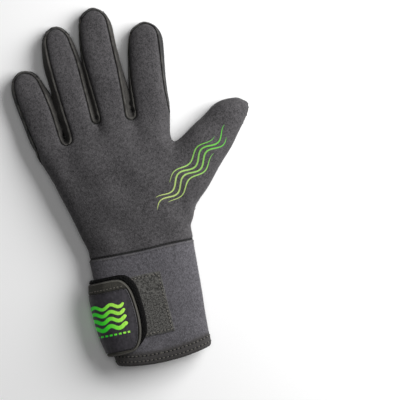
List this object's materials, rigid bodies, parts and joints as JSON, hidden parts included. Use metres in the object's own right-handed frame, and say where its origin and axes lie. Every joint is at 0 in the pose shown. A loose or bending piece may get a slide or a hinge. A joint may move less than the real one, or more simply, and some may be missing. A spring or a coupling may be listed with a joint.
{
  "type": "neoprene fishing glove",
  "caption": "Left-hand neoprene fishing glove lying palm down, open hollow hand, gusseted fingers, long cuff and closed wrist strap",
  "frame": {"origin": "middle of the glove's box, on the surface that it lies on", "axes": "+Y points from the cuff to the fingertips, +X to the thumb side, +Z out of the back of the hand"},
  "size_m": [0.1781, 0.282, 0.0331],
  "materials": {
    "back_neoprene": "fine heathered charcoal jersey knit over neoprene, matt, with a thin printed wave design",
    "palm_grip": "near-black knit face with rows of small pale grey rubber grip nubs, matt",
    "gusset_neoprene": "plain dark charcoal knit over neoprene, matt",
    "cuff_neoprene": "heathered charcoal jersey knit over neoprene, matt, brown-grey stitching",
    "loop_pile": "short brushed loop pile, matt",
    "hook_pad": "black woven hook tape, slightly shiny",
    "strap_neoprene": "charcoal jersey knit over neoprene with a bound edge, matt",
    "label_film": "dark smooth film with a plain printed wave pattern in green to yellow-green, satin"
  },
  "bodies": {
    "root": {"back_panel": "back_neoprene", "palm_panel": "palm_grip", "fourchette_index_middle": "gusset_neoprene", "fourchette_middle_ring": "gusset_neoprene", "fourchette_ring_little": "gusset_neoprene", "cuff": "cuff_neoprene", "loop_patch": "loop_pile", "hook_patch": "hook_pad", "strap": "strap_neoprene", "strap_label": "label_film"}
  },
  "joints": []
}
